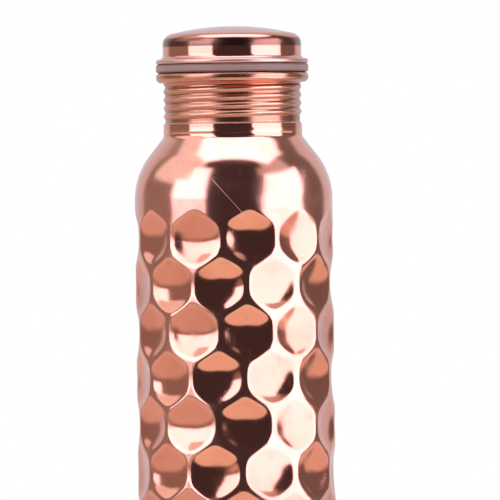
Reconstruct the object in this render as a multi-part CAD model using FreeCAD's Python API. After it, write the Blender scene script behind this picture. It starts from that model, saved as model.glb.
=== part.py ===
"""Copper water bottle with a hammered body and a screw cap, in millimetres.

The bottle stands on the XY plane with its axis on +Z, and the origin is the centre of its foot.
It is made of sheet copper.  A body shell with staggered rows of dimples runs up into a round
shoulder and a short collar.  A pressed base cup closes it below.  A neck ring with a
rolled thread and a curled lip stands in the collar.  The cap is a hollow dome hemmed round the
flange of a threaded plug, which a disc closes, and a silicone gasket lies between cap and lip.
Every outline is a list of corners (radius, height, corner radius) that is turned about the axis.
"""

import FreeCAD
import Part

import math
import os

V = FreeCAD.Vector
AXIS = V(0, 0, 1)
ORIGIN = V(0, 0, 0)

# ---- driving dimensions ------------------------------------------------------------------------

# body shell
body_radius = 37.0
body_wall = 0.6
body_corner_height = 209.5      # where the straight side and the shoulder's slope would meet
shoulder_rise = 14.2            # from there up to the foot of the collar
shoulder_curve = 27.0
collar_radius = 25.9
collar_height = 4.7
collar_fillet = 3.0
bead_height = 1.9               # middle of the rolled bead above the foot of the collar
bead_depth = 0.35
bead_width = 1.6

# dimples
dimples_per_row = 11
top_row_drop = 14.2             # middle of the top row below the end of the straight side
row_pitch = 17.4
row_drift = 0.95                # degrees that each row is turned past the stagger, going down
top_row_angle = -81.0           # middle of a dimple in the top row, from +X
dimple_depth = 2.8
dimple_height = 19.1
ridge_width = 1.0               # land left between two dimples of a row
plain_band = 8.0                # least plain height between the base cup's lap and the lowest row

# base cup
base_wall = 0.6
base_corner = 6.0
foot_ring_width = 2.35          # ring that it stands on, from the round corner inwards
base_recess = 2.5
base_step = 1.5                 # how far the recess slopes inwards over its height
base_bend = 1.0
base_lap = 4.5                  # overlap of the cup and the body shell

# neck ring and its thread
neck_wall = 0.6
neck_step = 0.15                # from the lap's bore in to the thread's inner crest
neck_height = 19.3              # from the collar's top to the top of the lip
neck_seat_rise = 0.6            # its lower edge above the foot of the collar
neck_lap_rise = 0.4             # top of the wide lap above the collar's top
neck_lap_taper = 0.5            # height over which the lap narrows to the thread's bore
throat_relief = 0.1             # bore above the thread, past the thread's groove
throat_depth = 3.4
throat_slope = 0.9
lip_width = 3.1
lip_height = 3.8
lip_top_bend = 1.2
lip_edge_bend = 1.5
lip_curl_bend = 1.8
lip_curl_return = 2.4
thread_pitch = 3.1
thread_depth = 0.8
neck_thread_start = 2.0         # middle of the lowest turn above the collar's top
neck_ridge_width = 2.4          # the ridge outside
neck_groove_width = 1.9         # the groove inside
thread_start_angle = 70.0

# cap
cap_wall = 0.6
cap_height = 12.3               # dome above its flange
crown_slope = 12.0              # degrees, at the edge of the crown
crown_curve = 97.0
cap_corner = 4.2
flange_width = 2.55             # how far the flange stands out from the cap's side
flange_fillet = 1.5
hem_return = 2.1                # how far the hem reaches in under the plug's flange
hem_slack = 0.3                 # between the edge of the plug's flange and the inside of the hem
plug_wall = 0.6
plug_depth = 16.4               # below the underside of the hem
plug_bend = 0.8                 # where the flange turns down into the plug
plug_ridge_width = 1.5
plug_groove_width = 0.9
plug_thread_margin = 1.5        # least height from the plug's lower edge to its lowest turn
plug_thread_stop = 3.4          # from the middle of its top turn up to the gasket
disc_wall = 0.7
disc_inset = 0.6                # from the plug's lower edge up to the disc

# gasket
gasket_thickness = 3.0
gasket_overhang = 0.1           # past the lip
gasket_edge = 0.7
gasket_bore_edge = 0.3

# clearances
braze_gap = 0.05                # between two sheets that are brazed together
braze_leg = 0.5                 # width and height of a braze fillet
seat_gap = 0.05                 # between the gasket and what it lies on
thread_clearance = 0.3          # radial, between the plug's root and the neck's inner crest
gasket_bore_gap = 0.15
overrun = 1.0                   # how far a cutting shape stands out past what it cuts
hair = 1e-6                     # anything shorter counts as nothing
weld = 1e-5                     # how far apart faces may be where a thread is joined or cut

# ---- levels and fits worked out from them ------------------------------------------------------

collar_foot = body_corner_height + shoulder_rise
collar_top = collar_foot + collar_height
lip_top = collar_top + neck_height
throat_bottom = lip_top - throat_depth
gasket_bottom = lip_top + seat_gap
gasket_top = gasket_bottom + gasket_thickness
hem_bottom = gasket_top + seat_gap
hem_thickness = 2 * cap_wall + plug_wall + 2 * braze_gap
flange_top = hem_bottom + hem_thickness
plug_bottom = hem_bottom - plug_depth

shell_bottom = base_corner + braze_leg
shell_lap_top = shell_bottom + base_lap
shoulder_turn = math.atan2(body_radius - collar_radius, shoulder_rise)
top_row_height = body_corner_height - shoulder_curve * math.tan(shoulder_turn / 2) - top_row_drop
lowest_row_least = shell_lap_top + plain_band + dimple_height / 2
dimple_rows = 1 + int((top_row_height - lowest_row_least) / row_pitch)

base_lap_radius = body_radius - body_wall - braze_gap
foot_ring_radius = base_lap_radius - base_corner - foot_ring_width
neck_lap_radius = collar_radius - body_wall - braze_gap
neck_bore_radius = neck_lap_radius - neck_wall - neck_step
throat_radius = neck_bore_radius + thread_depth + throat_relief
lip_radius = throat_radius + lip_width
flange_radius = lip_radius
cap_radius = flange_radius - flange_width
plug_radius = neck_bore_radius - thread_clearance
gasket_radius = lip_radius + gasket_overhang

neck_thread_low = collar_top + neck_thread_start
neck_thread_high = throat_bottom + neck_groove_width / 2
neck_thread_turns = (neck_thread_high - neck_thread_low) / thread_pitch
thread_steps = math.ceil((plug_bottom + plug_thread_margin - neck_thread_low) / thread_pitch)
plug_thread_low = neck_thread_low + thread_steps * thread_pitch
plug_thread_turns = (gasket_bottom - plug_thread_stop - plug_thread_low) / thread_pitch


# ---- outlines ----------------------------------------------------------------------------------

def unit(a, b):
    length = math.hypot(b[0] - a[0], b[1] - a[1])
    return ((b[0] - a[0]) / length, (b[1] - a[1]) / length)


def moved(corners, distance):
    """The outline moved sideways, to the right of its direction of travel."""
    result = []
    for i, (r, z, bend) in enumerate(corners):
        before = unit(corners[i - 1], corners[i]) if i else None
        after = unit(corners[i], corners[i + 1]) if i + 1 < len(corners) else None
        before = before or after
        after = after or before
        turn = before[0] * after[1] - before[1] * after[0]
        share = distance / (1 + before[0] * after[0] + before[1] * after[1])
        r += share * (before[1] + after[1])
        z -= share * (before[0] + after[0])
        if bend:
            bend += distance if turn > 0 else -distance
        result.append((r, z, bend))
    return result


def loop(corners):
    """Face inside a closed outline in the XZ plane, with its corners rounded."""
    spans = []
    count = len(corners)
    for i, (r, z, bend) in enumerate(corners):
        here = V(r, 0, z)
        into = (here - V(corners[i - 1][0], 0, corners[i - 1][1])).normalize()
        following = corners[(i + 1) % count]
        away = (V(following[0], 0, following[1]) - here).normalize()
        if not bend:
            spans.append((here, None, here))
            continue
        turn = into.getAngle(away)
        reach = bend * math.tan(turn / 2)
        start = here - into * reach
        end = here + away * reach
        inwards = (away - into).normalize()
        middle = here + inwards * (bend / math.cos(turn / 2) - bend)
        spans.append((start, middle, end))
    edges = []
    for i, (start, middle, end) in enumerate(spans):
        if middle is not None:
            edges.append(Part.Arc(start, middle, end).toShape())
        next_start = spans[(i + 1) % count][0]
        if (next_start - end).Length > hair:
            edges.append(Part.LineSegment(end, next_start).toShape())
    return Part.Face(Part.Wire(edges))


def turned(corners):
    return loop(corners).revolve(ORIGIN, AXIS, 360)


def sheet(corners, wall):
    """Sheet of one thickness that lies to the right of the outline."""
    return turned(corners + moved(corners, wall)[::-1])


def filled(corners):
    """Everything between the axis and the outline, which runs upwards."""
    return turned([(0, corners[0][1], 0)] + corners + [(0, corners[-1][1], 0)])


def braze_fillet(radius, height, rise):
    """Filler in the corner between a wall's outside and an edge that faces along rise."""
    inner = radius + braze_gap / 2
    return turned([(inner, height, 0), (inner + braze_leg, height, 0), (inner, height + rise, 0)])


# ---- threads -----------------------------------------------------------------------------------

def helix(radius, turns):
    """Right-handed helix of the thread's pitch, one edge for each turn."""
    edges = []
    for turn in range(math.ceil(turns - hair)):
        edge = Part.makeHelix(thread_pitch, thread_pitch * min(1, turns - turn), radius)
        edge.translate(V(0, 0, turn * thread_pitch))
        edges += edge.Edges
    return Part.Wire(edges)


def helical_rib(root, width, low, turns, sunk):
    """Round-crested rib on a cylinder of the root radius, reaching sunk below its surface."""
    half = width / 2
    arc = Part.Arc(V(root, 0, -half), V(root + thread_depth, 0, 0), V(root, 0, half)).toShape()
    corners = [V(root, 0, half), V(root - sunk, 0, half), V(root - sunk, 0, -half), V(root, 0, -half)]
    profile = Part.Wire([arc] + Part.makePolygon(corners).Edges)
    rib = helix(root, turns).makePipeShell([profile], True, True)
    if rib.Volume < 0:
        rib.reverse()
    rib.rotate(ORIGIN, AXIS, thread_start_angle)
    rib.translate(V(0, 0, low))
    return rib


# ---- dimples -----------------------------------------------------------------------------------

def dimple_tool(grown):
    """Barrel-shaped tool that presses one dimple at +X, its surface grown by the sheet's wall."""
    floor = body_radius - dimple_depth
    half_width = (math.pi * 2 * body_radius / dimples_per_row - ridge_width) / 2
    spread = half_width / body_radius
    centre = (body_radius**2 - floor**2) / (2 * (body_radius * math.cos(spread) - floor))
    across = centre - floor
    upright = (dimple_height**2 / 4 + dimple_depth**2) / (2 * dimple_depth)
    half = dimple_height / 2 + overrun
    upright += grown
    belly = floor - grown
    waist = belly + upright - math.sqrt(upright**2 - half**2)
    back = body_radius + dimple_depth
    arc = Part.Arc(V(waist, 0, -half), V(belly, 0, 0), V(waist, 0, half)).toShape()
    sides = Part.makePolygon([V(waist, 0, half), V(back, 0, half), V(back, 0, -half), V(waist, 0, -half)])
    face = Part.Face(Part.Wire([arc] + sides.Edges))
    reach = math.degrees(math.asin(body_radius * math.sin(spread) / across) + overrun / across)
    face.rotate(V(centre, 0, 0), AXIS, -reach)
    return face.revolve(V(centre, 0, 0), AXIS, 2 * reach)


def dimple_places():
    """(angle, height) of every dimple."""
    step = 360 / dimples_per_row
    for row in range(dimple_rows):
        height = top_row_height - row * row_pitch
        first = top_row_angle - row * row_drift - (row % 2) * step / 2
        for place in range(dimples_per_row):
            yield first + place * step, height


def dimpled(solid, grown):
    tools = []
    for angle, height in dimple_places():
        tool = dimple_tool(grown)
        tool.translate(V(0, 0, height))
        tool.rotate(ORIGIN, AXIS, angle)
        tools.append(tool)
    return solid.cut(tools)


# ---- the bottle --------------------------------------------------------------------------------

def body_shell():
    bead = collar_foot + bead_height
    half = bead_width / 2
    crest = bead_width / 6
    proud = collar_radius + bead_depth
    outline = [
        (body_radius, shell_bottom, 0),
        (body_radius, body_corner_height, shoulder_curve),
        (collar_radius, collar_foot, collar_fillet),
        (collar_radius, bead - half, 0),
        (proud, bead - crest, 0),
        (proud, bead + crest, 0),
        (collar_radius, bead + half, 0),
        (collar_radius, collar_top, 0),
    ]
    cavity = moved(outline, -body_wall)
    cavity[0] = (cavity[0][0], shell_bottom - overrun, 0)
    cavity[-1] = (cavity[-1][0], collar_top + overrun, 0)
    outside = dimpled(filled(outline), 0)
    inside = dimpled(filled(cavity), body_wall)
    return outside.cut(inside)


def base_cup():
    return sheet(
        [
            (base_lap_radius, shell_lap_top, 0),
            (base_lap_radius, 0, base_corner),
            (foot_ring_radius, 0, base_bend),
            (foot_ring_radius - base_step, base_recess, base_bend + base_wall),
            (0, base_recess, 0),
        ],
        base_wall,
    )


def base_braze():
    return braze_fillet(base_lap_radius, shell_bottom, -braze_leg)


def neck_ring():
    """The thread's groove runs out at the top into the wider throat, so that the plug can enter."""
    lap_bore = neck_lap_radius - neck_wall
    lap_top = collar_top + neck_lap_rise
    throat = [
        (neck_bore_radius, throat_bottom - throat_slope, 0),
        (throat_radius, throat_bottom, 0),
    ]
    ring = sheet(
        [
            (lap_bore, collar_foot + neck_seat_rise, 0),
            (lap_bore, lap_top, 0),
            (neck_bore_radius, lap_top + neck_lap_taper, 0),
            *throat,
            (throat_radius, lip_top, lip_top_bend),
            (lip_radius, lip_top, lip_edge_bend),
            (lip_radius, lip_top - lip_height, lip_curl_bend),
            (lip_radius - lip_curl_return, lip_top - lip_height, 0),
        ],
        neck_wall,
    )
    root = neck_bore_radius + neck_wall
    ridge = helical_rib(root, neck_ridge_width, neck_thread_low, neck_thread_turns, neck_wall / 2)
    groove = helical_rib(neck_bore_radius, neck_groove_width, neck_thread_low, neck_thread_turns, overrun)
    opening = filled(throat + [(throat_radius, lip_top, 0)])
    return ring.fuse((ridge,), weld).cut((groove, opening), weld)


def neck_braze():
    return braze_fillet(neck_lap_radius, collar_top, braze_leg)


# ---- the cap -----------------------------------------------------------------------------------

def cap_dome():
    slope = math.radians(crown_slope)
    crown_corner = crown_curve * math.tan(slope / 2)
    top = flange_top + cap_height
    edge = top - (cap_radius - crown_corner) * math.tan(slope)
    round_edge = hem_thickness / 2
    return sheet(
        [
            (0, top, 0),
            (crown_corner, top, crown_curve),
            (cap_radius, edge, cap_corner),
            (cap_radius, flange_top, flange_fillet),
            (flange_radius, flange_top, round_edge),
            (flange_radius, hem_bottom, round_edge),
            (flange_radius - hem_return, hem_bottom, 0),
        ],
        cap_wall,
    )


def plug_shell():
    flange_underside = hem_bottom + cap_wall + braze_gap
    shell = sheet(
        [
            (flange_radius - cap_wall - hem_slack, flange_underside, 0),
            (plug_radius, flange_underside, plug_bend),
            (plug_radius, plug_bottom, 0),
        ],
        plug_wall,
    )
    bore = plug_radius - plug_wall
    ridge = helical_rib(plug_radius, plug_ridge_width, plug_thread_low, plug_thread_turns, plug_wall / 2)
    groove = helical_rib(bore, plug_groove_width, plug_thread_low, plug_thread_turns, overrun)
    return shell.fuse((ridge,), weld).cut((groove,), weld)


def plug_disc():
    radius = plug_radius - plug_wall - braze_gap
    low = plug_bottom + disc_inset
    return turned([(0, low, 0), (radius, low, 0), (radius, low + disc_wall, 0), (0, low + disc_wall, 0)])


def plug_braze():
    edge = plug_radius - plug_wall - braze_gap / 2
    height = plug_bottom + disc_inset - braze_gap / 2
    return turned([(edge, height, 0), (edge - braze_leg, height, 0), (edge, height - braze_leg, 0)])


def cap_gasket():
    bore = plug_radius + gasket_bore_gap
    return turned(
        [
            (bore, gasket_bottom, gasket_bore_edge),
            (gasket_radius, gasket_bottom, gasket_edge),
            (gasket_radius, gasket_top, gasket_edge),
            (bore, gasket_top, gasket_bore_edge),
        ]
    )


PARTS = {
    "body_shell": body_shell,
    "base_cup": base_cup,
    "base_braze_ring": base_braze,
    "neck_ring": neck_ring,
    "neck_braze_ring": neck_braze,
    "cap_dome": cap_dome,
    "cap_plug_shell": plug_shell,
    "cap_plug_disc": plug_disc,
    "cap_plug_braze_ring": plug_braze,
    "cap_gasket": cap_gasket,
}


def main():
    os.makedirs("parts", exist_ok=True)
    for name, make in PARTS.items():
        shape = make()
        solids = shape.Solids
        box = shape.BoundBox
        valid = all(s.isValid() and s.Volume > 0 for s in solids)
        print(f"{name}: {len(solids)} solid, valid {valid}, {sum(s.Volume for s in solids):.1f} mm3, "
              f"r {box.XMax:.2f}, z {box.ZMin:.2f} to {box.ZMax:.2f}")
        Part.makeCompound(solids).exportStep(f"parts/{name}.step")


main()
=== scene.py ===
"""Looks of the copper water bottle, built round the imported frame, in metres."""

import math

import bpy
import numpy as np
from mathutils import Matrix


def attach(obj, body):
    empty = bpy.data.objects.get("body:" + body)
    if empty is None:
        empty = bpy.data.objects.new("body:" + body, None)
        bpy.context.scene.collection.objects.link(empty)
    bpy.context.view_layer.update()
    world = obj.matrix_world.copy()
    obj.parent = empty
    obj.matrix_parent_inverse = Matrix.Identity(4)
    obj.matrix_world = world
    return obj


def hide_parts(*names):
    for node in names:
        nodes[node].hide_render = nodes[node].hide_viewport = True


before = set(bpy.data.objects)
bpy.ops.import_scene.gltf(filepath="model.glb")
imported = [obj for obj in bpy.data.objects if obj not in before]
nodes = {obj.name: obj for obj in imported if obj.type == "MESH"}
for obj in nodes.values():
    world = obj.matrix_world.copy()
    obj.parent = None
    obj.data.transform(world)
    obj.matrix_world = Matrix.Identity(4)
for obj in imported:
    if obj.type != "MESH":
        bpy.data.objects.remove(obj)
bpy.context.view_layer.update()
MM = 0.001

# ---- sizes of the bottle, in millimetres ---------------------------------------------------------

body_radius = 37.0
body_wall = 0.6
body_bottom = 6.5
body_corner_height = 209.5
shoulder_curve = 27.0
collar_foot = 223.7
collar_radius = 25.9
collar_fillet = 3.0
collar_top = 228.4
bead_height = 225.6
bead_depth = 0.14
bead_width = 2.2

dimples_per_row = 11
dimple_rows = 10
row_pitch = 17.4
top_row_height = 186.0
top_row_angle = -81.0
row_drift = 0.95
dimple_depth = 2.65             # of a bowl before the ridges are rounded over and trimmed
dimple_flatness = 1.18          # 1 for an even bowl, more for a flatter middle and steeper sides
dimple_squareness = 14          # how far a dimple's outline goes from a circle, at 4, to a hexagon
dimple_sag = 2.0                # how far below its middle a dimple is deepest
dimple_wander = 0.35            # how far a dimple strays from its place
dimple_unevenness = 0.08        # share by which its depth differs from the others'
dimple_seed = 11
ridge_softness = 1.05           # how far the ridges between the dimples are rounded over
ridge_trim = 0.33               # how much the rounding would otherwise lower them
land_softness = 0.25
ridge_wear_depth = 0.5          # down to this depth the ridges are worn
mesh_step = 0.5
mesh_columns = 44               # columns of the mesh for each dimple round the body
body_bend_step = 0.4

neck_wall = 0.6
neck_bore = 24.6
neck_lap_bore = 24.65
neck_bottom = 224.3
neck_lap_top = 228.8
neck_step_rise = 0.5
throat_bottom = 244.3
throat_radius = 25.4
throat_flare = 0.9
lip_top = 247.7
lip_radius = 28.5
lip_height = 3.8
lip_return = 2.4
thread_pitch = 3.1
thread_depth = 0.65
thread_low = 230.4
thread_start = math.radians(70)
neck_thread_turns = 4.79
thread_fade = 0.12              # turns over which the thread's ends fade out
neck_ridge_width = 2.9
neck_groove_width = 2.4

cap_wall = 0.6
cap_radius = 25.95
cap_top = 265.0
crown_curve = 97.0
crown_slope = math.radians(12)
cap_corner = 4.2
flange_top = 252.7
hem_bottom = 250.8
flange_fillet = 1.5
hem_return = 2.1
plug_flange_inset = 0.3         # from the hem's fold in to the plug's flange
plug_flange_gap = 0.05
plug_radius = 24.2
plug_wall = 0.6
plug_bottom = 234.4
plug_thread_low = 236.6
plug_thread_turns = 2.5
plug_ridge_width = 1.7
plug_groove_width = 1.1

gasket_bore = 24.35
gasket_radius = 28.6
gasket_bottom = 247.75
gasket_top = 250.75
gasket_bulge = 0.08             # the moulding line round its edge stands out this far
gasket_line = 0.2               # half the height of that line

sheet_bend_step = 0.12
thread_step = 0.15
turned_columns = 240            # of the neck, the plug and the gasket
crown_columns = 288

edge_wear_and_shade_bend = 0.8            # a bend of this radius or less is fully worn on the copper, and fully in painted shade on the gasket
scratch_ends = ((-7.7, 207.3), (4.3, 193.8))    # across and up, of a long scratch on the front
scratch_width = 0.2


# ---- outlines ------------------------------------------------------------------------------------

def moved(corners, distance):
    """The outline moved sideways, to the right of its direction of travel."""
    result = []
    for i, (r, z, bend) in enumerate(corners):
        here = np.array((r, z))
        before = here - corners[i - 1][:2] if i else None
        after = np.array(corners[i + 1][:2]) - here if i + 1 < len(corners) else None
        before = after if before is None else before
        after = before if after is None else after
        before = before / np.linalg.norm(before)
        after = after / np.linalg.norm(after)
        turn = before[0] * after[1] - before[1] * after[0]
        share = distance / (1 + before @ after)
        if bend:
            bend += distance if turn > 0 else -distance
        result.append((r + share * (before[1] + after[1]),
                       z - share * (before[0] + after[0]), bend))
    return result


def rounded(corners, step):
    """Points along an open outline of (radius, height, bend), with the bends as arcs."""
    points = [np.array(corners[0][:2], float)]
    for (r0, z0, _), (r, z, bend), (r1, z1, _) in zip(corners, corners[1:], corners[2:]):
        here = np.array((r, z))
        into = here - (r0, z0)
        away = np.array((r1, z1)) - here
        into /= np.linalg.norm(into)
        away /= np.linalg.norm(away)
        if not bend:
            points.append(here)
            continue
        turn = math.acos(max(-1.0, min(1.0, float(into @ away))))
        reach = bend * math.tan(turn / 2)
        inwards = (away - into) / np.linalg.norm(away - into)
        centre = here + inwards * bend / math.cos(turn / 2)
        start = here - into * reach
        pieces = max(3, math.ceil(bend * turn / step))
        side = 1 if into[0] * away[1] - into[1] * away[0] > 0 else -1
        for k in range(pieces + 1):
            angle = side * turn * k / pieces
            arm = start - centre
            points.append(centre + (arm[0] * math.cos(angle) - arm[1] * math.sin(angle),
                                    arm[0] * math.sin(angle) + arm[1] * math.cos(angle)))
    points.append(np.array(corners[-1][:2], float))
    return points


def filled_in(points, step):
    """The same points with more between them wherever they are further apart than the step."""
    result = [points[0]]
    for a, b in zip(points, points[1:]):
        length = np.linalg.norm(b - a)
        if length < 1e-6:
            continue
        pieces = max(1, math.ceil(length / step - 1e-6))
        result += [a + (b - a) * k / pieces for k in range(1, pieces + 1)]
    return np.array(result)


def sheet_loop(corners, wall, step):
    """Closed outline of a sheet to the right of the corners."""
    near = filled_in(rounded(corners, sheet_bend_step), step)
    far = filled_in(rounded(moved(corners, wall), sheet_bend_step), step)
    return np.concatenate([near, far[::-1]])


# ---- meshes --------------------------------------------------------------------------------------

def mesh_piece(name, vertices, faces, wear_and_crease_shade, sharp=40):
    """Mesh object. The fourth argument says for each vertex, from 0 to 1, how exposed it is to
    wear, and on the gasket how much painted shade it gets.
    """
    mesh = bpy.data.meshes.new(name)
    mesh.from_pydata((np.asarray(vertices) * MM).tolist(), [], faces)
    exposed = mesh.attributes.new("wear_and_crease_shade", "FLOAT", "POINT")
    exposed.data.foreach_set("value", np.asarray(wear_and_crease_shade, np.float32))
    mesh.shade_smooth()
    mesh.set_sharp_from_angle(angle=math.radians(sharp))
    piece = bpy.data.objects.new(name, mesh)
    bpy.context.scene.collection.objects.link(piece)
    return piece


def ring_faces(rows, columns, closed):
    """Quads between the rows of a grid that is closed round the axis."""
    faces = []
    for i in range(rows if closed else rows - 1):
        a, b = i * columns, (i + 1) % rows * columns
        for j in range(columns):
            k = (j + 1) % columns
            faces.append((a + j, a + k, b + k, b + j))
    return faces


def turned(name, loop, segments, shift=None):
    """Closed outline turned about the axis. shift(angle, radius, height) moves a point outwards."""
    loop = np.asarray(loop)
    following = np.roll(loop, -1, axis=0)
    if np.sum(loop[:, 0] * following[:, 1] - following[:, 0] * loop[:, 1]) < 0:
        loop = loop[::-1]
    on_axis = loop[:, 0] < 1e-6
    if on_axis.any():
        while not (loop[-1, 0] < 1e-6 and loop[0, 0] >= 1e-6):
            loop = np.roll(loop, 1, axis=0)
    wide = loop[loop[:, 0] >= 1e-6]
    into = wide - np.roll(wide, 1, axis=0)
    away = np.roll(wide, -1, axis=0) - wide
    span = np.linalg.norm(into, axis=1) + np.linalg.norm(away, axis=1)
    crossed = into[:, 0] * away[:, 1] - into[:, 1] * away[:, 0]
    bend = np.arctan2(crossed, np.sum(into * away, axis=1))
    # outward bends: worn bright on the copper, painted shade on the gasket
    edge = np.clip(2 * bend / span * edge_wear_and_shade_bend, 0, 1)
    wear_and_crease_shade = np.repeat(edge[:, None], segments, axis=1)
    angles = np.arange(segments) * 2 * math.pi / segments
    radius = np.repeat(wide[:, :1], segments, axis=1)
    height = np.repeat(wide[:, 1:], segments, axis=1)
    if shift:
        out = shift(angles[None, :], radius, height)
        radius = radius + out
        wear_and_crease_shade = np.maximum(wear_and_crease_shade, np.clip(out / thread_depth, 0, 1) ** 2)
    vertices = np.stack([radius * np.cos(angles), radius * np.sin(angles), height], axis=2)
    vertices = vertices.reshape(-1, 3)
    rows = len(wide)
    faces = ring_faces(rows, segments, not on_axis.any())
    if on_axis.any():
        vertices = np.concatenate([vertices, [(0, 0, wide[0, 1]), (0, 0, wide[-1, 1])]])
        wear_and_crease_shade = np.append(wear_and_crease_shade, (0, 0))
        low, top = rows * segments, (rows - 1) * segments
        for j in range(segments):
            k = (j + 1) % segments
            faces.append((low, k, j))
            faces.append((low + 1, top + j, top + k))
    return mesh_piece(name, vertices, faces, wear_and_crease_shade.ravel())


def thread_bump(angle, height, low, turns, width):
    """How far, from 0 to 1, the thread stands out at a point, fading in and out at its ends."""
    part = (angle - thread_start) % (2 * math.pi) / (2 * math.pi)
    along = (height - low) / thread_pitch
    turn = np.round(along - part) + part
    off = np.abs(along - turn) * thread_pitch
    fade = np.clip(turn / thread_fade, 0, 1) * np.clip((turns - turn) / thread_fade, 0, 1)
    fade = fade * fade * (3 - 2 * fade)
    crest = np.where(off < width / 2, (1 + np.cos(2 * math.pi * off / width)) / 2, 0)
    return fade * crest


# ---- the hammered body ---------------------------------------------------------------------------

def hammering(columns):
    """Depth of the dimples on a grid of mesh steps upwards and columns round the axis."""
    pitch = 2 * math.pi / dimples_per_row
    angle = (np.arange(columns) * 2 * math.pi / columns)[None, :]
    height = np.arange(0, top_row_height + 2 * row_pitch, mesh_step)[:, None]
    beside = math.pi * body_radius / dimples_per_row
    slant = math.hypot(beside / 2, row_pitch / 2)
    sides = ((1 / beside, 0), (beside / 2 / slant**2, row_pitch / 2 / slant**2),
             (beside / 2 / slant**2, -row_pitch / 2 / slant**2))
    chance = np.random.RandomState(dimple_seed)
    chance = chance.uniform(-1, 1, (dimple_rows, dimples_per_row, 3))
    depth = np.zeros((len(height), columns))
    for row in range(dimple_rows):
        rise = height - (top_row_height - row * row_pitch)
        near = np.nonzero(np.abs(rise[:, 0]) < row_pitch)[0]
        first = math.radians(top_row_angle - row * row_drift) - row % 2 * pitch / 2
        for step in (-1, 0, 1):
            place = np.floor((angle - first) / pitch + 0.5) + step
            odd = chance[row, place.astype(int) % dimples_per_row]
            deep = dimple_depth * (1 + dimple_unevenness * odd[..., 2])
            dx = (angle - first - place * pitch) * body_radius + dimple_wander * odd[..., 0]
            dz = rise[near] + dimple_wander * odd[..., 1]
            dz = dz + dimple_sag * (1 - np.minimum((dx * dx + dz * dz) / beside**2, 1))
            rim = sum(np.abs(dx * a + dz * b) ** dimple_squareness for a, b in sides)
            rim = rim ** (2 / dimple_squareness)
            round_rim = (dx * dx + dz * dz) / (beside * slant)
            rim = round_rim + (rim - round_rim) * np.minimum(rim, 1) ** 2
            depth[near] = np.maximum(depth[near], deep * (1 - rim**dimple_flatness))
    up = np.fft.fftfreq(len(height), mesh_step)[:, None]
    along = np.fft.rfftfreq(columns, 2 * math.pi * body_radius / columns)[None, :]
    soften = np.exp(-2 * (math.pi * ridge_softness) ** 2 * (up * up + along * along))
    depth = np.fft.irfft2(np.fft.rfft2(depth) * soften, depth.shape) - ridge_trim
    return (depth + np.sqrt(depth * depth + land_softness**2) - land_softness) / 2


def depth_at(grid, height):
    """The grid's depth at the heights of a line of points, in each of its columns."""
    step = np.clip(height / mesh_step, 0, len(grid) - 2)
    low = step.astype(int)
    share = (step - low)[:, None]
    return np.maximum(grid[low] * (1 - share) + grid[low + 1] * share, 0)


def hammered_body():
    """The dimpled shell. Its inner side has half as many columns as its outer side."""
    half = bead_width / 2
    outline = [
        (body_radius, body_bottom, 0),
        (body_radius, body_corner_height, shoulder_curve),
        (collar_radius, collar_foot, collar_fillet),
        (collar_radius, bead_height - half, 0),
        (collar_radius, bead_height + half, 0),
        (collar_radius, collar_top, 0),
    ]
    outer = filled_in(rounded(outline, body_bend_step), mesh_step)
    inner = moved(outline, -body_wall)
    inner = filled_in(rounded(inner, 2 * body_bend_step), 2 * mesh_step)[::-1]
    fine = dimples_per_row * mesh_columns
    coarse = fine // 2
    grid = hammering(fine)
    parts, wear_and_crease_shade = [], []
    for line, columns in ((outer, fine), (inner, coarse)):
        angle = (np.arange(columns) * 2 * math.pi / columns)[None, :]
        radius = np.repeat(line[:, :1], columns, axis=1)
        height = np.repeat(line[:, 1:], columns, axis=1)
        bead = np.clip(1 - np.abs(height - bead_height) / half, 0, 1)
        deep = depth_at(grid, line[:, 1])[:, ::fine // columns]
        radius = radius - deep + bead_depth * bead * bead * (3 - 2 * bead)
        ridge = np.clip(1 - deep / ridge_wear_depth, 0, 1)
        wear_and_crease_shade.append(np.where(height < collar_foot, ridge, bead).ravel())
        points = np.stack([radius * np.cos(angle), radius * np.sin(angle), height], axis=2)
        parts.append(points.reshape(-1, 3))
    start = len(parts[0])
    faces = ring_faces(len(outer), fine, False)
    faces += [tuple(start + v for v in face) for face in ring_faces(len(inner), coarse, False)]
    top = (len(outer) - 1) * fine
    bottom = start + (len(inner) - 1) * coarse
    for j in range(coarse):
        k = (j + 1) % coarse
        faces.append((top + 2 * j, top + 2 * j + 1, top + 2 * k, start + k, start + j))
        faces.append((bottom + j, bottom + k, 2 * k, 2 * j + 1, 2 * j))
    return mesh_piece("hammered_body", np.concatenate(parts), faces, np.concatenate(wear_and_crease_shade))


body = hammered_body()


# ---- the neck ------------------------------------------------------------------------------------

def neck_thread(angle, radius, height):
    """How far the thread moves a point of the neck outwards."""
    inside = radius < neck_bore + neck_wall / 2
    width = np.where(inside, neck_groove_width, neck_ridge_width)
    bump = thread_depth * thread_bump(angle, height, thread_low, neck_thread_turns, width)
    root = np.where(inside, neck_bore, neck_bore + neck_wall)
    in_zone = (height > neck_lap_top + 0.3) & (height < throat_bottom + 2)
    return np.where(in_zone, np.maximum(root + bump - radius, 0), 0)


neck = turned("threaded_neck", sheet_loop([
    (neck_lap_bore, neck_bottom, 0),
    (neck_lap_bore, neck_lap_top, 0.3),
    (neck_bore, neck_lap_top + neck_step_rise, 0.3),
    (neck_bore, throat_bottom - throat_flare, 0.5),
    (throat_radius, throat_bottom, 0.5),
    (throat_radius, lip_top, 1.2),
    (lip_radius, lip_top, 1.5),
    (lip_radius, lip_top - lip_height, 1.8),
    (lip_radius - lip_return, lip_top - lip_height, 0),
], neck_wall, thread_step), turned_columns, neck_thread)


# ---- the cap -------------------------------------------------------------------------------------

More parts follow.
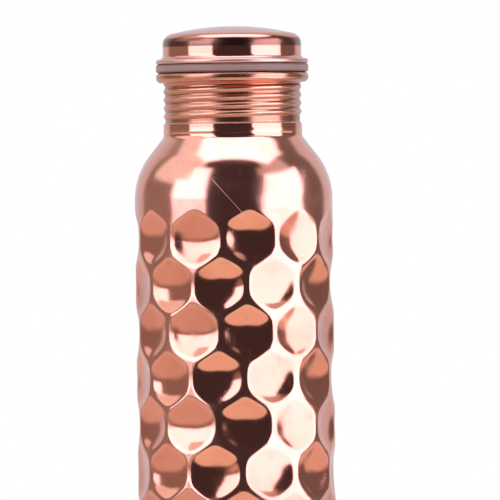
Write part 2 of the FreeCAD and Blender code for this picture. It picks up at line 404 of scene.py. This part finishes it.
crown_corner = crown_curve * math.tan(crown_slope / 2)
hem_bend = (flange_top - hem_bottom) / 2
crown = turned("cap_crown", sheet_loop([
    (0, cap_top, 0),
    (crown_corner, cap_top, crown_curve),
    (cap_radius, cap_top - (cap_radius - crown_corner) * math.tan(crown_slope), cap_corner),
    (cap_radius, flange_top, flange_fillet),
    (lip_radius, flange_top, hem_bend),
    (lip_radius, hem_bottom, hem_bend),
    (lip_radius - hem_return, hem_bottom, 0),
], cap_wall, mesh_step), crown_columns)


def plug_thread(angle, radius, height):
    """How far the thread moves a point of the plug outwards."""
    inside = radius < plug_radius - plug_wall / 2
    width = np.where(inside, plug_groove_width, plug_ridge_width)
    bump = thread_depth * thread_bump(angle, height, plug_thread_low, plug_thread_turns, width)
    return np.where((radius < plug_radius + 0.1) & (height < gasket_top - 0.5), bump, 0)


plug_flange_bottom = hem_bottom + cap_wall + plug_flange_gap
plug = turned("cap_plug", sheet_loop([
    (lip_radius - cap_wall - plug_flange_inset, plug_flange_bottom, 0),
    (plug_radius, plug_flange_bottom, 0.8),
    (plug_radius, plug_bottom, 0),
], plug_wall, thread_step), turned_columns, plug_thread)


# ---- the gasket ----------------------------------------------------------------------------------

gasket_side = gasket_radius - gasket_bulge
gasket_middle = (gasket_bottom + gasket_top) / 2
gasket = turned("silicone_gasket", filled_in(rounded([
    (gasket_bore + 1, gasket_bottom, 0),
    (gasket_side, gasket_bottom, 0.7),
    (gasket_side, gasket_middle - gasket_line, 0),
    (gasket_radius, gasket_middle, 0),
    (gasket_side, gasket_middle + gasket_line, 0),
    (gasket_side, gasket_top, 0.7),
    (gasket_bore, gasket_top, 0.3),
    (gasket_bore, gasket_bottom, 0.3),
    (gasket_bore + 1, gasket_bottom, 0),
], 0.1), 0.4)[:-1], turned_columns)


# ---- materials -----------------------------------------------------------------------------------

bump_distance = 0.0002

def add(tree, kind, inputs=None, **settings):
    """A shader node with its settings and inputs. An input is a value or another node's socket."""
    node = tree.nodes.new(kind)
    for name, value in settings.items():
        setattr(node, name, value)
    for name, value in (inputs or {}).items():
        if isinstance(value, bpy.types.NodeSocket):
            tree.links.new(value, node.inputs[name])
        else:
            node.inputs[name].default_value = value
    return node


def new_material(name):
    """A new material with its node tree and its shader."""
    material = bpy.data.materials.new(name)
    material.use_nodes = True
    tree = material.node_tree
    return material, tree, tree.nodes["Principled BSDF"]


def noise(tree, place, scale, detail, stretch=(1, 1, 1)):
    mapped = add(tree, "ShaderNodeMapping", {"Vector": place, "Scale": stretch}).outputs[0]
    inputs = {"Vector": mapped, "Scale": scale, "Detail": detail}
    return add(tree, "ShaderNodeTexNoise", inputs).outputs[0]


def ramp(tree, value, low, high, to_low=0.0, to_high=1.0):
    """The value taken smoothly from one range to another, and held at its ends."""
    node = add(tree, "ShaderNodeMapRange", {0: value, 1: low, 2: high, 3: to_low, 4: to_high})
    node.interpolation_type = "SMOOTHSTEP"
    return node.outputs[0]


def calc(tree, operation, a, b=0.0, c=0.0):
    return add(tree, "ShaderNodeMath", {0: a, 1: b, 2: c}, operation=operation).outputs[0]


def blended(tree, share, a, b):
    """Colour a with a share of colour b."""
    node = add(tree, "ShaderNodeMix", data_type="RGBA")
    for index, value in ((0, share), (6, a), (7, b)):
        if isinstance(value, bpy.types.NodeSocket):
            tree.links.new(value, node.inputs[index])
        else:
            node.inputs[index].default_value = value
    return node.outputs[2]


def colour(r, g, b):
    return (r, g, b, 1)


def finished(tree, shader, tint, rough, height, strength):
    """Gives the shader its colour, its roughness and a bump."""
    tree.links.new(tint, shader.inputs["Base Color"])
    tree.links.new(rough, shader.inputs["Roughness"])
    bump = add(tree, "ShaderNodeBump",
               {"Height": height, "Strength": strength, "Distance": bump_distance})
    tree.links.new(bump.outputs[0], shader.inputs["Normal"])


def long_scratch(tree, place):
    """One straight scratch on the front, from 0 to 1."""
    (x0, z0), (x1, z1) = scratch_ends
    length = math.hypot(x1 - x0, z1 - z0)
    along = ((x1 - x0) / length, (z1 - z0) / length)
    off = ((z0 - z1) / length, (x1 - x0) / length)
    x, y, z = add(tree, "ShaderNodeSeparateXYZ", {0: place}).outputs

    def distance(direction):
        start = -MM * (x0 * direction[0] + z0 * direction[1])
        up = calc(tree, "MULTIPLY_ADD", z, direction[1], start)
        return calc(tree, "MULTIPLY_ADD", x, direction[0], up)

    aside = calc(tree, "ABSOLUTE", distance(off))
    width = ramp(tree, aside, 0.5 * scratch_width * MM, scratch_width * MM, 1, 0)
    reach = distance(along)
    ends = calc(tree, "MULTIPLY", calc(tree, "GREATER_THAN", reach, 0),
                calc(tree, "LESS_THAN", reach, length * MM))
    front = calc(tree, "LESS_THAN", y, 0)
    return calc(tree, "MULTIPLY", calc(tree, "MULTIPLY", width, ends), front)


def copper(name, base, dull, gloss, turning=0.0, waviness=0.0, scratches=0.3, scratched=False,
           bands=()):
    """Polished copper: cloudy tarnish, fine scratches, turning lines, and edges worn bright.

    gloss is its roughness where it is cleanest. Bands go round it between two heights, each with
    what it adds to the roughness and its colour; a dark band is a painted dark reflection.
    """
    material, tree, shader = new_material(name)
    place = add(tree, "ShaderNodeTexCoord").outputs["Object"]
    cloud = noise(tree, place, 38, 4)
    bloom = noise(tree, place, 140, 5)
    scratch_a = noise(tree, place, 260, 2, (9, 9, 0.6))
    scratch_b = noise(tree, place, 330, 2, (0.7, 7, 7))
    tarnish = ramp(tree, cloud, 0.42, 0.72)
    spots = ramp(tree, bloom, 0.6, 0.78)
    mixed = blended(tree, tarnish, base, dull)
    spotted = blended(tree, calc(tree, "MULTIPLY", spots, 0.35), mixed, tarnish_spot)
    wear_and_crease_shade = add(tree, "ShaderNodeAttribute", attribute_name="wear_and_crease_shade").outputs["Fac"]
    rubbed = calc(tree, "MULTIPLY", wear_and_crease_shade, ramp(tree, bloom, 0.3, 0.6, 0.4, 0.9))
    tint = blended(tree, rubbed, spotted, worn_bright)
    fine = calc(tree, "MAXIMUM", ramp(tree, scratch_a, 0.66, 0.7),
                ramp(tree, scratch_b, 0.68, 0.72))
    rough = calc(tree, "MULTIPLY_ADD", tarnish, 0.07, gloss)
    # each band's colour is laid round it; the crown's dark band at the corner is painted shade, a
    # painted dark reflection
    for low, high, roughness, band in bands:
        up = add(tree, "ShaderNodeSeparateXYZ", {0: place}).outputs[2]
        ring = calc(tree, "MULTIPLY", ramp(tree, up, (low - 0.3) * MM, (low + 0.3) * MM),
                    ramp(tree, up, (high - 0.5) * MM, (high + 0.5) * MM, 1, 0))
        share = calc(tree, "MULTIPLY", ring, ramp(tree, cloud, 0.3, 0.6, 0.8, 1))
        tint = blended(tree, share, tint, band)
        rough = calc(tree, "MULTIPLY_ADD", ring, roughness, rough)
    rough = calc(tree, "MULTIPLY_ADD", spots, 0.1, rough)
    rough = calc(tree, "MULTIPLY_ADD", fine, 0.12 * scratches, rough)
    rough = calc(tree, "MULTIPLY_ADD", rubbed, 0.05, rough)
    if scratched:
        rough = calc(tree, "MULTIPLY_ADD", long_scratch(tree, place), 0.35, rough)
    shader.inputs["Metallic"].default_value = 1.0
    height = calc(tree, "MULTIPLY", fine, -0.15 * scratches)
    if turning:
        lines = noise(tree, place, 1500, 2, (0.02, 0.02, 1))
        height = calc(tree, "MULTIPLY_ADD", lines, turning, height)
    if waviness:
        height = calc(tree, "MULTIPLY_ADD", noise(tree, place, 110, 1), waviness, height)
    finished(tree, shader, tint, rough, height, 0.25)
    return material


tarnish_spot = colour(0.52, 0.2, 0.13)
worn_bright = colour(0.95, 0.43, 0.31)
bright = colour(0.885, 0.35, 0.238)
spun_dull = colour(0.82, 0.32, 0.218)
# bands round the cap: the dark one over the corner is painted shade, a painted dark reflection; the
# paler, rougher one is on the flange
crown_bands = (
    (257.4, 260.6, 0.1, colour(0.2, 0.085, 0.065)),
    (250.5, 253.4, 0.25, colour(0.8, 0.46, 0.38)),
)
hammered_copper = copper("hammered_copper", bright, colour(0.8, 0.3, 0.198), 0.09,
                         waviness=1.5, scratched=True)
spun_copper = copper("spun_copper", bright, spun_dull, 0.07, turning=0.15)
crown_copper = copper("crown_copper", bright, spun_dull, 0.07, turning=0.15, bands=crown_bands)
thread_copper = copper("thread_copper", colour(0.56, 0.235, 0.145), colour(0.38, 0.145, 0.087),
                       0.22, turning=0.1, scratches=0.1)


def brazing():
    """Grainy, paler filler metal."""
    material, tree, shader = new_material("braze_filler")
    place = add(tree, "ShaderNodeTexCoord").outputs["Object"]
    grain = noise(tree, place, 900, 4)
    tint = blended(tree, ramp(tree, grain, 0.35, 0.7), colour(0.78, 0.46, 0.31),
                   colour(0.6, 0.3, 0.2))
    shader.inputs["Metallic"].default_value = 1.0
    finished(tree, shader, tint, calc(tree, "MULTIPLY_ADD", grain, 0.25, 0.3), grain, 0.5)
    return material


def silicone():
    """Translucent rubber with dust on it, and painted shade darkening its rounded edges where it
    meets the cap's flange and the neck's lip.
    """
    material, tree, shader = new_material("silicone")
    place = add(tree, "ShaderNodeTexCoord").outputs["Object"]
    cloud = noise(tree, place, 60, 3)
    dust = noise(tree, place, 1400, 3)
    tint = blended(tree, cloud, colour(0.3, 0.165, 0.135), colour(0.36, 0.205, 0.17))
    wear_and_crease_shade = add(tree, "ShaderNodeAttribute", attribute_name="wear_and_crease_shade").outputs["Fac"]
    # painted shade: the rounded edges darkened for the creases against the flange above and the lip
    # below
    tint = blended(tree, calc(tree, "MULTIPLY", wear_and_crease_shade, 0.8), tint, colour(0.16, 0.085, 0.07))
    tint = blended(tree, ramp(tree, dust, 0.66, 0.76, 0, 0.5), tint, colour(0.5, 0.42, 0.38))
    shader.inputs["Subsurface Weight"].default_value = 0.25
    shader.inputs["Subsurface Radius"].default_value = (0.002, 0.0014, 0.001)
    finished(tree, shader, tint, calc(tree, "MULTIPLY_ADD", dust, 0.2, 0.35), dust, 0.15)
    return material


filler = brazing()
for piece, material in (
    (body, hammered_copper),
    (neck, thread_copper),
    (crown, crown_copper),
    (plug, thread_copper),
    (gasket, silicone()),
    (nodes["base_cup"], spun_copper),
    (nodes["cap_plug_disc"], spun_copper),
    (nodes["base_braze_ring"], filler),
    (nodes["neck_braze_ring"], filler),
    (nodes["cap_plug_braze_ring"], filler),
):
    piece.data.materials.clear()
    piece.data.materials.append(material)


# ---- riding on the frame -------------------------------------------------------------------------

for piece, node, rides_on, finish in (
    (body, "body_shell", "bottle", "hammered_copper"),
    (neck, "neck_ring", "bottle", "spun_copper"),
    (crown, "cap_dome", "cap", "spun_copper"),
    (plug, "cap_plug_shell", "cap", "spun_copper"),
    (gasket, "cap_gasket", "gasket", "silicone"),
):
    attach(piece, rides_on)
    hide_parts(node)


# ---- studio --------------------------------------------------------------------------------------

def studio():
    """White for the camera, even light for matt surfaces, and softboxes that the copper mirrors."""
    world = bpy.data.worlds.new("studio")
    world.use_nodes = True
    bpy.context.scene.world = world
    tree = world.node_tree
    tree.nodes.clear()
    direction = add(tree, "ShaderNodeTexCoord").outputs["Generated"]
    parts = add(tree, "ShaderNodeSeparateXYZ", {0: direction}).outputs
    behind = calc(tree, "MULTIPLY", parts[1], -1.0)
    # degrees from straight in front of the bottle, round it to the right
    turn = calc(tree, "DEGREES", calc(tree, "ARCTAN2", parts[0], behind))
    aside = calc(tree, "ABSOLUTE", turn)
    rise = calc(tree, "DEGREES", calc(tree, "ARCSINE", parts[2]))
    leaning = calc(tree, "MULTIPLY_ADD", calc(tree, "MAXIMUM", rise, 0), -0.25, turn)

    def between(value, low, high, soft):
        """1 between two values and 0 outside, with soft edges."""
        up = ramp(tree, value, low - soft, low + soft)
        return calc(tree, "SUBTRACT", up, ramp(tree, value, high - soft, high + soft))

    def patched(below, tint, across, low, high, lowest, highest, soft):
        share = calc(tree, "MULTIPLY", between(across, low, high, soft),
                     between(rise, lowest, highest, soft))
        return blended(tree, share, below, tint)

    def overhead(below, tint, left, right, front, back, soft=0.05):
        """Light of a rectangle level above, with its edges given over its height."""
        above = calc(tree, "MAXIMUM", parts[2], 0.001)
        x, y = calc(tree, "DIVIDE", parts[0], above), calc(tree, "DIVIDE", parts[1], above)
        share = calc(tree, "MULTIPLY", between(x, left, right, soft), between(y, front, back, soft))
        return blended(tree, share, below, tint)

    dark = colour(0.057, 0.05, 0.06)
    softbox = colour(2.55, 2.6, 3.3)
    seen = blended(tree, ramp(tree, turn, -20, 20), colour(0.31, 0.285, 0.28),
                   colour(0.2, 0.19, 0.2))
    # each patch lies over the ones before it: from and to across, from and to upwards, soft edge
    for patch in (
        (colour(0.68, 0.73, 0.82), aside, 131, 190, -95, 66, 5),
        (dark, turn, -32, 10, -20, 70, 2),
        (dark, leaning, 0, 31.5, -20, 70, 2),
        (colour(1.05, 1.15, 1.25), turn, -118, -35, 20, 62, 3),
        (colour(0.7, 0.7, 0.75), turn, 35, 88, 34, 60, 4),
        (dark, turn, -49, 45, 46, 72, 4),
        (softbox, turn, -77, -33, -0.3, 27, 1.5),
        (softbox, turn, -60, -33, 20, 48, 2),
        (colour(0.95, 0.9, 0.8), turn, -60, 60, -95, -18, 1.5),
        (colour(0.75, 0.66, 0.62), turn, -190, -36.5, -95, -6, 3),
        (colour(0.85, 0.75, 0.7), turn, 60, 118, -95, -4, 3),
        (softbox, leaning, 33, 88, -34, 36, 2),
    ):
        seen = patched(seen, *patch)
    seen = overhead(seen, softbox, -0.55, 0.71, -0.42, 0.3)

    even = blended(tree, ramp(tree, parts[2], -0.3, 0.9), colour(0.75, 0.75, 0.75),
                   colour(1.05, 1.04, 1.03))
    path = add(tree, "ShaderNodeLightPath").outputs
    shown = blended(tree, path["Is Diffuse Ray"], seen, even)
    shown = blended(tree, path["Is Camera Ray"], shown, colour(1, 1, 1))
    light = add(tree, "ShaderNodeBackground", {"Color": shown})
    add(tree, "ShaderNodeOutputWorld", {"Surface": light.outputs[0]})


def floor():
    """Pale floor. What the copper mirrors of it fades into the studio round it."""
    vertices = [(0, 0, 0)]
    faces = []
    count = 64
    for radius in (0.12, 0.3, 1.0, 4.0):
        start = len(vertices)
        for j in range(count):
            k = (j + 1) % count
            angle = 2 * math.pi * j / count
            vertices.append((radius * math.cos(angle), radius * math.sin(angle), 0))
            if start == 1:
                faces.append((0, start + j, start + k))
            else:
                faces.append((start - count + j, start + j, start + k, start - count + k))
    mesh = bpy.data.meshes.new("floor")
    mesh.from_pydata(vertices, [], faces)
    ground = bpy.data.objects.new("floor", mesh)
    bpy.context.scene.collection.objects.link(ground)
    material, tree, shader = new_material("floor")
    shader.inputs["Base Color"].default_value = colour(0.86, 0.855, 0.85)
    shader.inputs["Roughness"].default_value = 0.9
    shader.inputs["Specular IOR Level"].default_value = 0.1
    place = add(tree, "ShaderNodeTexCoord").outputs["Object"]
    away = add(tree, "ShaderNodeVectorMath", {0: place}, operation="LENGTH").outputs["Value"]
    glossy = add(tree, "ShaderNodeLightPath").outputs["Is Glossy Ray"]
    clear = calc(tree, "MULTIPLY", glossy, ramp(tree, away, 0.08, 0.24))
    through = add(tree, "ShaderNodeBsdfTransparent")
    mix = add(tree, "ShaderNodeMixShader", {0: clear, 1: shader.outputs[0], 2: through.outputs[0]})
    tree.links.new(mix.outputs[0], tree.nodes["Material Output"].inputs["Surface"])
    mesh.materials.append(material)


studio()
floor()

# ---- camera --------------------------------------------------------------------------------------

camera_distance = 5.0
camera_height = 0.1811
camera_aside = 0.0059
frame_width = 0.18725           # what the picture's width takes in at the bottle's axis
camera_roll = math.radians(0.68)

lens = bpy.data.cameras.new("camera")
lens.sensor_width = 36
lens.lens = lens.sensor_width * camera_distance / frame_width
lens.clip_start, lens.clip_end = 0.1, 100
camera = bpy.data.objects.new("camera", lens)
camera.rotation_euler = (math.pi / 2, camera_roll, 0)
camera.location = (camera_aside, -camera_distance, camera_height)
bpy.context.scene.collection.objects.link(camera)
bpy.context.scene.camera = camera
bpy.context.scene.view_settings.view_transform = "Standard"
